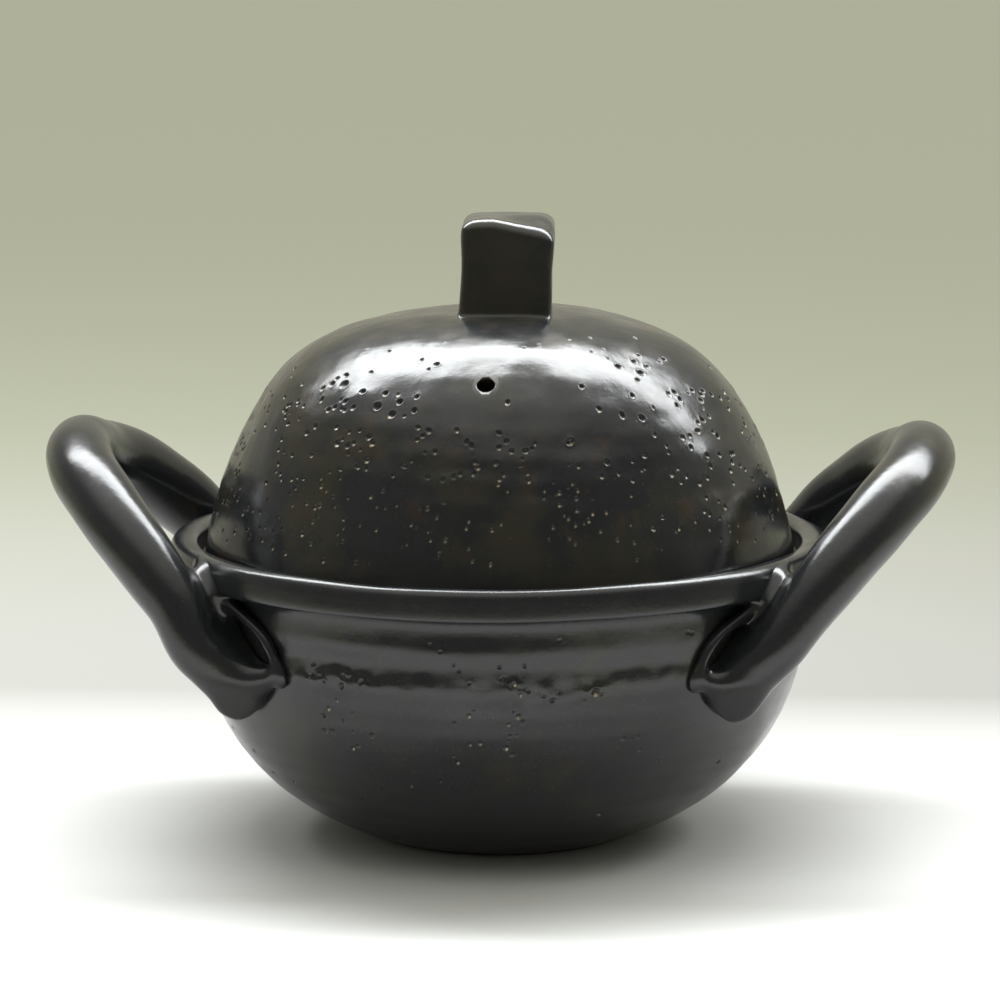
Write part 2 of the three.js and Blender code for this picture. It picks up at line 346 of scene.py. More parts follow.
def no_masks(count):
    """The masks of a piece without pits, flecks or bare clay."""
    return {mask: np.zeros(count) for mask in ("pit", "fleck", "bare")}


def finish_piece(piece, material, body, slot, *nodes):
    piece.data.materials.clear()
    piece.data.materials.append(material)
    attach(piece, body)
    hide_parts(*nodes)


# ---- pot ---------------------------------------------------------------------

def belly_line():
    return smooth([(49, 0.9), (54.5, 3.1), (69.5, 10.7), (84.5, 21.5), (96.5, 35.3),
                   (105.3, 51.7), (110.9, 69.7), (111.85, 74.5), (111.75, 79), (111.95, 84),
                   (111.8, 88), (111.5, 92.5), (111.75, 95.6), (112.9, CREASE_Z)])


def lip_line():
    return smooth([(UNDERLIP_RADIUS, CREASE_Z + 0.3), (LIP_RADIUS - 0.6, CREASE_Z + 0.4),
                   (LIP_RADIUS - 0.05, CREASE_Z + 0.9), (LIP_RADIUS, CREASE_Z + 2.2),
                   (LIP_RADIUS - 0.12, 101.8), (LIP_RADIUS - 0.3, 103.3),
                   (LIP_RADIUS - 0.5, 104.8), (LIP_RADIUS - 0.78, 106.2),
                   (LIP_RADIUS - 1.3, 107.5), (LIP_RADIUS - 2.1, 108.45),
                   (LIP_RADIUS - 3.1, 109.0), (LIP_RADIUS - 4.4, 109.2),
                   (LIP_RADIUS - 6.2, 109.0), (LIP_RADIUS - 8, 108.65),
                   (110.4, 108.2), (MOUTH_RADIUS, MOUTH_Z)])


def inside_line():
    return smooth([(101.5, 99.3), (102.6, 86.5), (100.8, 69.5), (95.4, 53.5), (87, 39),
                   (75.5, 26.5), (60, 17), (38, 10.8), (1, 9)])


def pot_outline():
    """The whole section of the pot, from under its foot round the lip to its inside."""
    foot = smooth([(1, 2), (36, 2), (38, 1.2), (39.5, 0.15), (42, 0.05), (45.5, 0.05),
                   (47.5, 0.3)])
    seat = smooth([(MOUTH_RADIUS, 101.8), (108.4, SEAT_Z), (103, SEAT_Z), (101.9, 100.1)])
    return Outline([foot, belly_line(), lip_line(), seat, inside_line()])


POT_PIT_RANGE = (12, 95)           # z between which the pot has pits
POT_FLECKS = 0.3                   # share of its pits with a pale fleck
POT_CLUSTERS = [
    (-25, 73.5, 1.6, 1.2, 3, 1.6), (-30, 76, 3, 1.6, 6, 1.2), (-28, 62, 3.5, 6, 7, 1.0),
    (-24, 52, 3, 5, 4, 0.9), (-4, 66, 1.2, 12, 9, 0.8), (6, 66, 1.8, 13, 14, 0.9),
    (10, 72, 3, 2, 5, 1.0),
    (20, 70, 2, 2.5, 4, 1.3), (28, 52, 3, 4, 4, 0.9), (-10, 40, 20, 6, 8, 0.8),
    (15, 88, 20, 3, 5, 0.7), (70, 60, 25, 18, 10, 1.0), (-75, 60, 20, 15, 8, 1.0),
    (120, 66, 18, 14, 16, 1.0), (165, 60, 20, 15, 18, 1.0), (-140, 70, 22, 12, 16, 1.0),
]


def compass_of(points):
    """Degrees round from the front, + to the right."""
    return np.degrees(np.arctan2(points[:, 0], -points[:, 1]))


def pot_height(flat, outside):
    """Hand-made unevenness of the pot: throwing rings, soft dents and a ragged shelf."""
    z = flat[:, 2]
    angle = np.arctan2(flat[:, 1], flat[:, 0])
    compass = compass_of(flat)
    rings = 0.04 * np.sin(2 * math.pi * z / 7.3 + 0.8 * np.sin(angle) + angle)
    dents = 0.2 * waves(flat, 60, 11) + 0.05 * waves(flat, 19, 12)
    mottle = 0.025 * waves(flat, 6.5, 13) * hump(79, 16, z)
    edge = 75.3 - 2.4 * hump(5, 13, compass)
    edge += 1.3 * waves(flat * (1, 1, 0.3), 10, 14) + 0.7 * waves(flat, 4, 16)
    step = 0.6 + 0.7 * hump(-24, 13, compass) + 0.45 * hump(14, 10, compass)
    shelf = -step * smoothstep(-3.4, 3.4, z - edge) * smoothstep(88, 79.5, z)
    waist = -0.55 * smoothstep(84.5, 93, z) * hump(-3, 22, compass)
    wall = (rings + dents + mottle + (shelf + waist) * outside) * smoothstep(0, 14, z)
    lip = 0.08 * waves(flat, 40, 15)
    at_lip = smoothstep(CREASE_Z - 3, CREASE_Z + 1, z)
    return wall * (1 - at_lip) + lip * at_lip


def lip_dip(flat, outside):
    """How far the lip sags at each point, fading out down both sides of the wall."""
    z = flat[:, 2]
    share = np.where(outside, smoothstep(84, 100, z), smoothstep(101.8, MOUTH_Z, z))
    return LIP_DIP * share * hump(-5, 26, compass_of(flat))


def make_pot(material):
    outline = pot_outline()
    lip_start = outline.nearest(UNDERLIP_RADIUS, CREASE_Z + 0.3)
    lip_end = outline.nearest(MOUTH_RADIUS, MOUTH_Z)
    belly_start = outline.nearest(49, 0.9)
    seat_end = outline.nearest(101.5, 99.3)
    v_lines = rows(outline, [(belly_start - 12, 9), (belly_start, 1.6), (lip_start, 1.55),
                             (lip_end, 0.8), (seat_end, 1.8), (outline.length[-1], 5)])
    rng = np.random.default_rng(5)
    surface = outside_surface(belly_line(), belly_start, lip_start, POT_PIT_RANGE, POT_FLECKS)
    pits = scatter(outline, rng, POT_CLUSTERS, surface)
    u, v, faces = turned_cells(outline, v_lines, pits)
    depth, mark, fleck = press_pits(outline, u, v, pits)
    flat = outline.place(u, v, np.zeros(len(u)))
    height = pot_height(flat, v < lip_end) - depth
    points = outline.place(u, v, height)
    points[:, 2] -= lip_dip(flat, v < lip_end)
    masks = {"pit": mark, "fleck": fleck, "bare": smoothstep(3.5, 1.2, points[:, 2])}
    piece = make_piece("pot_shell", points, faces, masks)
    finish_piece(piece, material, "pot", "pot_glaze", "pot_body")


# ---- lid ---------------------------------------------------------------------

def dome_line():
    return smooth([(LID_FOOT_RADIUS - 0.3, LID_FOOT_Z + 0.8), (105.4, 111), (99.4, 131.7),
                   (91, 151.1), (78.6, 169), (59.4, 182.3), (32, LID_TOP - 1.4), (1, LID_TOP)])


def lid_outline():
    inside = smooth([(1, 185.2), (31, 183.9), (56.5, 177), (74, 164.6), (85.6, 148.1),
                     (93.6, 129.9), (99.4, 110), (101, LID_FOOT_Z + 1)])
    foot = smooth([(101.8, LID_FOOT_Z + 0.1), (103, LID_FOOT_Z), (105.5, LID_FOOT_Z),
                   (106.6, LID_FOOT_Z + 0.1)])
    return Outline([inside, foot, dome_line()])


LID_PIT_RANGE = (113, 187)
LID_FLECKS = 0.7
HOLE_MARGIN = 7                    # no pits this close to the middle of the steam hole
LID_CLUSTERS = [
    (-38, 175, 3, 1.5, 3, 1.4), (-45, 171.5, 3, 1.5, 4, 1.5), (-17, 177.5, 2.5, 1, 3, 1.2),
    (-31, 167, 5, 2, 6, 1.4), (-17, 164, 5, 4.5, 10, 1.25), (-36, 156, 6, 5, 20, 1.1),
    (-56, 160, 7, 6, 20, 0.95), (-74, 140, 9, 15, 46, 0.95), (-45, 138, 10, 9, 30, 0.9),
    (-22, 142, 10, 10, 30, 0.9), (-14, 122, 16, 7, 30, 0.8), (-50, 120, 14, 6, 26, 0.9),
    (4, 150, 7, 5, 18, 0.95), (10, 140, 8, 8, 26, 0.85), (22, 163, 8, 4, 7, 1.1),
    (40, 171, 4, 2.5, 4, 1.4), (49, 164, 5, 4, 5, 1.4), (55, 176, 7, 4, 6, 1.2),
    (63, 164, 6, 4, 9, 1.1), (36, 148, 8, 5, 18, 1.0), (52, 146, 7, 6, 18, 1.0),
    (72, 145, 8, 13, 34, 0.95), (30, 122, 16, 8, 32, 0.8), (60, 122, 10, 7, 20, 0.85),
    (-30, 184, 12, 2, 4, 0.7), (35, 183, 12, 2.5, 7, 0.7), (110, 150, 16, 12, 46, 1.0),
    (150, 145, 15, 15, 46, 1.0), (-115, 150, 14, 12, 44, 1.0), (-150, 145, 14, 14, 44, 1.0),
    (180, 155, 14, 12, 30, 1.0),
]


def lid_height(outline, u, v):
    """Hand-made unevenness of the lid, none at its foot and its very top."""
    flat = outline.place(u, v, np.zeros(len(u)))
    z = flat[:, 2]
    rings = 0.05 * np.sin(2 * math.pi * z / 8.1 + np.cos(u) + u)
    dents = 0.30 * waves(flat, 60, 21) + 0.08 * waves(flat, 20, 22)
    mottle = 0.02 * waves(flat, 6, 23)
    fade = smoothstep(0, 10, z - LID_FOOT_Z)
    return (rings + dents + mottle) * fade * smoothstep(8, 30, np.hypot(flat[:, 0], flat[:, 1]))


def drill():
    """A round bar along the steam hole, for cutting it."""
    bpy.ops.mesh.primitive_cylinder_add(vertices=48, radius=STEAM_HOLE_RADIUS * MM,
                                        depth=DRILL_LENGTH * MM, location=Vector(STEAM_HOLE) * MM,
                                        rotation=(STEAM_HOLE_TILT, 0, 0))
    return bpy.context.object


def cut(piece, tool):
    modifier = piece.modifiers.new("cut", "BOOLEAN")
    modifier.operation = "DIFFERENCE"
    modifier.solver = "EXACT"
    modifier.object = tool
    bpy.context.view_layer.objects.active = piece
    bpy.ops.object.modifier_apply(modifier="cut")
    bpy.data.objects.remove(tool)


def make_lid(material):
    outline = lid_outline()
    foot_start = outline.nearest(101.8, LID_FOOT_Z + 0.1)
    dome_start = outline.nearest(LID_FOOT_RADIUS - 0.3, LID_FOOT_Z + 0.8)
    v_lines = rows(outline, [(foot_start, 5), (dome_start, 1.2), (outline.length[-1], 1.7)])
    rng = np.random.default_rng(8)
    surface = outside_surface(dome_line(), dome_start, outline.length[-1], LID_PIT_RANGE,
                              LID_FLECKS)
    pits = scatter(outline, rng, LID_CLUSTERS, surface)
    hole_radius = math.hypot(STEAM_HOLE[0], STEAM_HOLE[1])
    hole_v = outline.nearest(hole_radius, STEAM_HOLE[2], dome_start)
    hole_u = math.atan2(STEAM_HOLE[1], STEAM_HOLE[0]) % (2 * math.pi)
    pits = [pit for pit in pits
            if math.hypot((pit.u - hole_u) * hole_radius, pit.v - hole_v) > HOLE_MARGIN]
    u, v, faces = turned_cells(outline, v_lines, pits)
    depth, mark, fleck = press_pits(outline, u, v, pits)
    height = lid_height(outline, u, v) - depth
    points = outline.place(u, v, height)
    off_hole = np.linalg.norm(points - np.array(STEAM_HOLE), axis=1)
    masks = {"pit": mark, "fleck": fleck, "bare": smoothstep(5.2, 3.4, off_hole) * 0.5}
    piece = make_piece("lid_shell", points, faces, masks)
    cut(piece, drill())
    finish_piece(piece, material, "lid", "lid_glaze", "lid_dome")


# ---- surfaces from distances -------------------------------------------------

def blend_union(a, b, width):
    """The smaller of two distances, with the crease between them filled."""
    overlap = np.clip(width - np.abs(a - b), 0, None) / width
    return np.minimum(a, b) - overlap ** 2 * width / 4


def blend_cut(a, b, width):
    """The larger of two distances, with the edge between them rounded."""
    return -blend_union(-a, -b, width)


def near_values(distance, axes, coarse=5):
    """Distances at every grid point, worked out in full only near the surface."""
    shape = [len(axis) for axis in axes]
    sparse = [np.append(axis[::coarse], axis[-1]) for axis in axes]
    points = np.stack(np.meshgrid(*sparse, indexing="ij"), -1).reshape(-1, 3)
    rough = distance(points).reshape([len(axis) for axis in sparse])
    pick = [np.minimum((np.arange(n) + coarse // 2) // coarse, len(axis) - 1)
            for n, axis in zip(shape, sparse)]
    rough = rough[np.ix_(*pick)]
    spacing = axes[0][1] - axes[0][0]
    near = np.abs(rough) < coarse * spacing * 1.3 + 1      # over half its diagonal
    index = np.argwhere(near)
    points = np.stack([axis[index[:, k]] for k, axis in enumerate(axes)], 1)
    rough[near] = distance(points)
    return rough


def surface_net(distance, low, high, step):
    """Closed mesh of the surface where `distance` is zero, one point to a grid cell."""
    axes = [np.arange(a, b + step, step) for a, b in zip(low, high)]
    values = near_values(distance, axes)
    shape = np.array(values.shape)
    total = np.zeros((values.size, 3))
    count = np.zeros(values.size)
    stride = np.array([shape[1] * shape[2], shape[2], 1])
    rings = []
    for axis in range(3):
        start = [slice(None)] * 3
        start[axis] = slice(None, -1)
        end = [slice(None)] * 3
        end[axis] = slice(1, None)
        a, b = values[tuple(start)], values[tuple(end)]
        index = np.argwhere((a < 0) != (b < 0))
        here = a[tuple(index.T)]
        there = b[tuple(index.T)]
        crossing = index.astype(float)
        crossing[:, axis] += here / (here - there)
        side, other = [k for k in range(3) if k != axis]
        corner = index @ stride
        cells = [corner, corner - stride[side], corner - stride[side] - stride[other],
                 corner - stride[other]]
        for cell in cells:
            np.add.at(total, cell, crossing)
            np.add.at(count, cell, 1)
        ring = np.stack(cells, 1)
        flip = (here < 0) == (axis == 1)
        ring[flip] = ring[flip][:, ::-1]
        rings.append(ring)
    used = np.flatnonzero(count)
    lookup = np.full(values.size, -1)
    lookup[used] = np.arange(len(used))
    points = np.array(low) + total[used] / count[used][:, None] * step
    faces = lookup[np.vstack(rings)]
    return settle(distance, points), faces


def slope(distance, points, reach=0.05):
    """How the distance changes along x, y and z at each point."""
    parts = []
    for axis in range(3):
        offset = np.zeros(3)
        offset[axis] = reach
        parts.append((distance(points + offset) - distance(points - offset)) / (2 * reach))
    return np.stack(parts, 1)


def settle(distance, points, rounds=2):
    """Move points onto the surface, along the slope of the distance."""
    for _ in range(rounds):
        gradient = slope(distance, points)
        steep = np.maximum((gradient ** 2).sum(1), 0.2)
        points = points - gradient * (distance(points) / steep)[:, None]
    return points


# ---- handles -----------------------------------------------------------------

COIL_FILLET = 5
WEB_FILLET = 7
LUTING_FILLET = 4
TOE_FILLET = 5
WEB_SPAN = (10, 46)                # the clay in the gap under the coil, by length from COIL_END
WEB_STANDOFF = (4.4, 2.2)          # its middle from the pot, at its lower and its upper end
WEB_RADII = (5.8, 4.0)
WALL_INSET = 0.35                  # the handle's foot lies this far under the pot's skin
WALL_DEPTH = 5                     # and it is this thick
SKIRT = 7                          # how far the foot spreads from the coil and the luting
FOOT_LIMIT = MOUTH_RADIUS + 4      # and how close it comes to the axis, clear of the lid
HEIGHT_REACH = 6                   # how far from the wall its unevenness is followed
HANDLE_INNER_X = 58                # no part of a handle lies further in than this
HANDLE_CELL = 0.85                 # grid spacing of its mesh


def bezier(a, b, c, d, count):
    t = np.linspace(0, 1, count)[:, None]
    a, b, c, d = (np.array(p, float) for p in (a, b, c, d))
    return a * (1 - t) ** 3 + 3 * b * t * (1 - t) ** 2 + 3 * c * t ** 2 * (1 - t) + d * t ** 3


def evenly(line, spacing=1.0):
    length = np.concatenate([[0], np.cumsum(np.linalg.norm(np.diff(line, axis=0), axis=1))])
    stops = np.linspace(0, length[-1], round(length[-1] / spacing) + 1)
    return np.stack([np.interp(stops, length, column) for column in line.T], 1)


def nearest_on(line, points):
    """Fractional index of the place on an even line that is nearest to each point."""
    best = np.full(len(points), np.inf)
    index = np.zeros(len(points), int)
    for k in range(1, len(line) - 1):
        gap = ((points - line[k]) ** 2).sum(1)
        closer = gap < best
        best[closer] = gap[closer]
        index[closer] = k
    before, here, after = (((points - line[index + k]) ** 2).sum(1) for k in (-1, 0, 1))
    bend = np.maximum(before - 2 * here + after, 0.001)
    return index + np.clip((before - after) / (2 * bend), -1, 1)


def along(values, place):
    """Values of an even line at fractional indices, on a parabola through its points."""
    index = np.clip(np.rint(place).astype(int), 1, len(values) - 2)
    offset = (place - index).reshape(-1, *[1] * (values.ndim - 1))
    before, here, after = (values[index + k] for k in (-1, 0, 1))
    return here + offset * (after - before) / 2 + offset ** 2 * (before - 2 * here + after) / 2


def tube_distance(points, line, radii):
    """Signed distance to a round bar along an even line, whose radius may change."""
    place = nearest_on(line, points)
    return np.linalg.norm(points - along(line, place), axis=1) - along(radii, place)


def wall_distance(points, line, height=None):
    """Signed distance to the outside of a turned piece, whose (radius, z) line is given
    along with the unevenness that lifts its surface."""
    reach = np.hypot(points[:, 0], points[:, 1])
    spot = np.stack([reach, points[:, 2]], 1)
    place = nearest_on(line, spot)
    foot = along(line, place)
    away = spot - foot
    rise = np.gradient(line, axis=0)
    normals = along(np.stack([rise[:, 1], -rise[:, 0]], 1), place)
    signed = np.sign((away * normals).sum(1)) * np.hypot(away[:, 0], away[:, 1])
    if height is not None:
        near = np.abs(signed) < HEIGHT_REACH
        share = foot[near, 0] / reach[near]
        flat = np.column_stack([points[near, 0] * share, points[near, 1] * share, foot[near, 1]])
        signed[near] -= height(flat) * smoothstep(HEIGHT_REACH, 2, np.abs(signed[near]))
    return signed


def coil_line(root_shift):
    """The middle line of the front half of a coil, from its tail up, and its radii."""
    line = evenly(bezier(COIL_END, COIL_RISE, COIL_TOP_PULL, COIL_TOP, 400))
    tail = line[0] + (line[0] - line[1]) * np.arange(COIL_TAIL, 0, -1)[:, None]
    line = np.vstack([tail, line])
    length = np.arange(len(line)) - COIL_TAIL
    radii = np.interp(length, *smooth(COIL_RADII, 1.0).T)
    full = np.interp(length, (0, len(line) - COIL_TAIL), (COIL_RADIUS_END, COIL_RADIUS_TOP))
    rise = np.gradient(line, axis=0)
    outward = np.stack([rise[:, 2], np.zeros(len(line)), -rise[:, 0]], 1)
    outward /= np.maximum(np.linalg.norm(outward, axis=1), 0.01)[:, None]
    shift = np.clip(full - radii, 0, None) * smoothstep(0, 26, length)
    shift += root_shift * smoothstep(40, 18, length)
    return line + outward * shift[:, None], radii


def luting_line():
    """The crest of the clay pressed along the inner side of the coil, and its radii."""
    compass, z, reach = smooth(LUTING_PATH).T
    angle = np.radians(compass)
    line = evenly(np.stack([reach * np.sin(angle), -reach * np.cos(angle), z], 1))
    return line, np.interp(np.arange(len(line)), *np.array(LUTING_RADII).T)


def web_line(line, wall):
    """The middle of the clay between the coil and the pot, and its radii."""
    middle = line[COIL_TAIL + WEB_SPAN[0]:COIL_TAIL + WEB_SPAN[1]]
    reach = np.hypot(middle[:, 0], middle[:, 1])
    skin = np.interp(middle[:, 2], wall[:, 1], wall[:, 0])
    skin += (LIP_RADIUS - skin) * smoothstep(CREASE_Z - 12, CREASE_Z + 2, middle[:, 2])
    upward = np.linspace(0, 1, len(middle))
    share = ((skin + np.interp(upward, (0, 1), WEB_STANDOFF)) / reach)[:, None]
    return np.hstack([middle[:, :2] * share, middle[:, 2:]]), np.interp(upward, (0, 1), WEB_RADII)


def handle_mesh(side, root_shift):
    """A right handle: coil, luting and the clay that joins them to the wall. The side is
    1 or -1, for the right or the left wall of the pot."""
    line, radii = coil_line(root_shift)
    wall = evenly(np.vstack([belly_line(), lip_line()]), 1.2)
    luting, luting_radii = luting_line()
    web, web_radii = web_line(line, belly_line())
    toe = np.array(TOE)
    toe_radii = np.array(TOE_RADII)
    cut_point = np.array(COIL_CUT_POINT) + (root_shift, 0, 0)
    end_point = np.array(COIL_END_POINT) + (root_shift / 2, 0, 0)

    def height(flat):
        return pot_height(flat * (side, 1, 1), True)

    def distance(points):
        folded = points.copy()
        folded[:, 1] = -np.abs(points[:, 1])
        folded[:, 2] += BACK_DROP * smoothstep(0, 25, points[:, 1])
        coil = tube_distance(folded, line, radii) - 0.1 * waves(points, 34, 31)
        coil -= BACK_SWELL * smoothstep(15, 55, points[:, 1])
        coil = blend_union(coil, tube_distance(folded, toe, toe_radii), TOE_FILLET)
        coil = blend_union(coil, tube_distance(folded, web, web_radii), WEB_FILLET)
        coil = blend_cut(coil, (folded - cut_point) @ np.array(COIL_CUT_FACING), 1.8)
        coil = blend_cut(coil, (folded - end_point) @ np.array(COIL_END_FACING), 2.5)
        crest = tube_distance(folded, luting, luting_radii)
        skin = wall_distance(points, wall, height) + WALL_INSET
        shell = blend_cut(skin, -skin - WALL_DEPTH, 1)
        foot = blend_cut(shell, np.minimum(coil, crest) - SKIRT, 2)
        foot = blend_cut(foot, FOOT_LIMIT - np.hypot(points[:, 0], points[:, 1]), 2)
        outside = blend_cut(coil, -skin - WALL_DEPTH, 1)
        ridge = blend_cut(crest, -skin - WALL_DEPTH, 1)
        return blend_union(blend_union(outside, foot, COIL_FILLET), ridge, LUTING_FILLET)

    low = np.array((HANDLE_INNER_X, HANDLE_LOW.y - 4, HANDLE_LOW.z - 8))
    high = np.array((HANDLE_HIGH.x + 2, HANDLE_HIGH.y + 4, HANDLE_HIGH.z + 3))
    return surface_net(distance, low, high, HANDLE_CELL)


def make_handles(material):
    for name, side in (("right", 1), ("left", -1)):
        points, faces = handle_mesh(side, ROOT_SHIFT[name])
        turned = faces if side > 0 else faces[:, ::-1]
        piece = make_piece(f"handle_{name}_coil", points * (side, 1, 1), turned.tolist(),
                           no_masks(len(points)))
        finish_piece(piece, material, "pot", "pot_glaze", f"handle_{name}",
                     f"luting_{name}_front", f"luting_{name}_back")


# ---- knob --------------------------------------------------------------------

def rounded_box(a, b, half_a, half_b, corner):
    """Signed distance to a rectangle with rounded corners, in two directions."""
    out_a = np.abs(a) - half_a + corner
    out_b = np.abs(b) - half_b + corner
    beyond = np.hypot(np.maximum(out_a, 0), np.maximum(out_b, 0))
    return beyond + np.minimum(np.maximum(out_a, out_b), 0) - corner


KNOB_REACH = 40                    # half the height of the boxes that shape the knob
KNOB_CORNER = 4.5                  # roundings of its bend, of its gap and of its sides
KNOB_GAP_CORNER = 5
KNOB_SIDE_CORNER = 6.5
KNOB_CELL = 0.7                    # grid spacing of its mesh


def knob_mesh():
    """The bent strap: a profile seen from the side, cut by its two sides, sunk in the lid."""
    dome = evenly(dome_line(), 1.2)
    cosine, sine = math.cos(-KNOB_TURN), math.sin(-KNOB_TURN)

    def distance(points):
        x = (points[:, 0] - KNOB_OFFSET) * cosine - points[:, 1] * sine
        y = (points[:, 0] - KNOB_OFFSET) * sine + points[:, 1] * cosine
        z = points[:, 2]
        front = smoothstep(4, -KNOB_DEPTH / 2, y)
        lifted = z + 0.2 * np.maximum(x + 5, 0) * front
        hollow = 0.5 * hump(0, 9, x + 0.6 * (z - KNOB_TOP + 18)) * hump(KNOB_TOP - 18, 12, z)
        lean = (0.15 * (KNOB_TOP - z) - 1.8) * front
        flare = 1.2 * smoothstep(9, 0, z - LID_TOP + 6)
        depth = KNOB_DEPTH / 2 + flare + lean - hollow
        outer = rounded_box(y, lifted - (KNOB_TOP - KNOB_REACH), depth, KNOB_REACH, KNOB_CORNER)
        finger = rounded_box(y, lifted - (KNOB_TOP - KNOB_STRAP - KNOB_REACH),
                             KNOB_DEPTH / 2 - KNOB_STRAP, KNOB_REACH, KNOB_GAP_CORNER)
        profile = np.maximum(outer, -finger)
        share = np.clip((z - LID_TOP) / (KNOB_TOP - LID_TOP), 0, 1)
        spread = (1 - share) ** 2 * np.where(x < 0, 1.6, -0.6)
        half = KNOB_WIDTH / 2 - 0.5 + spread + 0.5 * hump(0.8, 0.2, share)
        sides = rounded_box(x, lifted - (KNOB_TOP + 1.4 - KNOB_REACH), half, KNOB_REACH,
                            KNOB_SIDE_CORNER)
        strap = blend_cut(profile, sides, 3.5)
        strap -= 0.1 * waves(points, 16, 41)
        skin = wall_distance(points, dome) + 0.7
        foot = blend_cut(blend_cut(skin, -skin - 4, 1), strap - 6, 2)
        sunk = blend_cut(strap, -skin - 4, 1)
        return blend_union(sunk, foot, 2.2)

    low = np.array((KNOB_LOW.x - 8, KNOB_LOW.y - 8, LID_TOP - 16))
    high = np.array((KNOB_HIGH.x + 8, KNOB_HIGH.y + 8, KNOB_TOP + 2))
    return surface_net(distance, low, high, KNOB_CELL)


def make_knob(material):
    points, faces = knob_mesh()
    piece = make_piece("knob_strap", points, faces.tolist(), no_masks(len(points)))
    finish_piece(piece, material, "lid", "lid_glaze", "lid_knob")


# ---- materials ---------------------------------------------------------------

class Nodes:
    """Short calls for building a node tree."""

    def __init__(self, tree):
        self.tree = tree

    def add(self, kind, **settings):
        node = self.tree.nodes.new(kind)
        for name, value in settings.items():
            setattr(node, name, value)
        return node

    def feed(self, socket, value):
        if isinstance(value, bpy.types.NodeSocket):
            self.tree.links.new(value, socket)
        else:
            socket.default_value = value

    def noise(self, where, scale, detail=3.0, roughness=0.55):
        node = self.add("ShaderNodeTexNoise")
        self.feed(node.inputs["Vector"], where)
        node.inputs["Scale"].default_value = scale
        node.inputs["Detail"].default_value = detail
        node.inputs["Roughness"].default_value = roughness
        return node.outputs["Fac"]

    def ramp(self, value, low, high, to_low=0.0, to_high=1.0):
        node = self.add("ShaderNodeMapRange", interpolation_type="SMOOTHSTEP")
        self.feed(node.inputs["Value"], value)
        node.inputs["From Min"].default_value = low
        node.inputs["From Max"].default_value = high
        node.inputs["To Min"].default_value = to_low
        node.inputs["To Max"].default_value = to_high
        return node.outputs["Result"]

    def maths(self, operation, a, b):
        node = self.add("ShaderNodeMath", operation=operation)
        self.feed(node.inputs[0], a)
        self.feed(node.inputs[1], b)
        return node.outputs[0]

    def mix(self, share, a, b):
        node = self.add("ShaderNodeMix", data_type="RGBA")
        self.feed(node.inputs["Factor"], share)
        self.feed(node.inputs["A"], a)
        self.feed(node.inputs["B"], b)
        return node.outputs["Result"]

    def mask(self, name):
        return self.add("ShaderNodeAttribute", attribute_name=name).outputs["Fac"]

    def bump(self, height, distance, strength, below=None):
        node = self.add("ShaderNodeBump")
        node.inputs["Strength"].default_value = strength
        node.inputs["Distance"].default_value = distance
        self.feed(node.inputs["Height"], height)
        if below is not None:
            self.feed(node.inputs["Normal"], below)
        return node.outputs["Normal"]


CHARCOAL = (0.0105, 0.0115, 0.0125, 1)
OLIVE = (0.0200, 0.0185, 0.0125, 1)
RUST = (0.0330, 0.0170, 0.0090, 1)
CREAM = (0.42, 0.34, 0.20, 1)
GRAIN = (0.05, 0.05, 0.048, 1)
# painted shade: the near-black colour put inside the pits
PIT_SHADE = (0.006, 0.0055, 0.005, 1)
CLAY = (0.050, 0.036, 0.026, 1)


def glaze(name, olive_share, rust_share):
    """Satin black iron glaze: cloudy charcoal and olive, fine grain, flecks, and pits darkened
    with painted shade.
    """
    material = bpy.data.materials.new(name)
    material.use_nodes = True
    nodes = Nodes(material.node_tree)
    shader = material.node_tree.nodes["Principled BSDF"]
    where = nodes.add("ShaderNodeTexCoord").outputs["Object"]
    clouds = nodes.noise(where, 24, 4)
    patches = nodes.noise(where, 95, 4)
    grain = nodes.noise(where, 900, 2)
    tone = nodes.mix(nodes.ramp(clouds, 0.62 - olive_share, 0.78 - olive_share), CHARCOAL, OLIVE)
    rust = nodes.maths("MULTIPLY", nodes.ramp(patches, 0.52, 0.75), rust_share)
    tone = nodes.mix(rust, tone, RUST)
    tone = nodes.mix(nodes.ramp(grain, 0.63, 0.8, 0, 0.5), tone, GRAIN)
    pit = nodes.mask("pit")
    # painted shade: the inside of each pit is darkened towards near-black
    tone = nodes.mix(nodes.maths("MULTIPLY", pit, 0.75), tone, PIT_SHADE)
    tone = nodes.mix(nodes.mask("fleck"), tone, CREAM)
    tone = nodes.mix(nodes.mask("bare"), tone, CLAY)
    nodes.feed(shader.inputs["Base Color"], tone)
    rough = nodes.ramp(patches, 0.3, 0.75, 0.17, 0.26)
    rough = nodes.maths("ADD", rough, nodes.maths("MULTIPLY", pit, 0.2))
    rough = nodes.maths("ADD", rough, nodes.maths("MULTIPLY", nodes.mask("bare"), 0.4))
    nodes.feed(shader.inputs["Roughness"], rough)
    peel = nodes.noise(where, 420, 2)
    skin = nodes.bump(peel, 0.0002, 0.25)
    fine = nodes.bump(nodes.noise(where, 1500, 2), 0.00006, 0.35, skin)
    nodes.feed(shader.inputs["Normal"], fine)
    shader.inputs["IOR"].default_value = 1.5
    return material


# ---- stage -------------------------------------------------------------------

FLOOR_HALF = 14.0
FLOOR_NEAR = (0.66, 0.66, 0.65, 1)
# painted shade: the paper far from the pot is coloured darker
FLOOR_FAR_SHADED = (0.545, 0.56, 0.455, 1)
FLOOR_FADE = (0.2, 1.15)           # distances between which one colour turns into the other


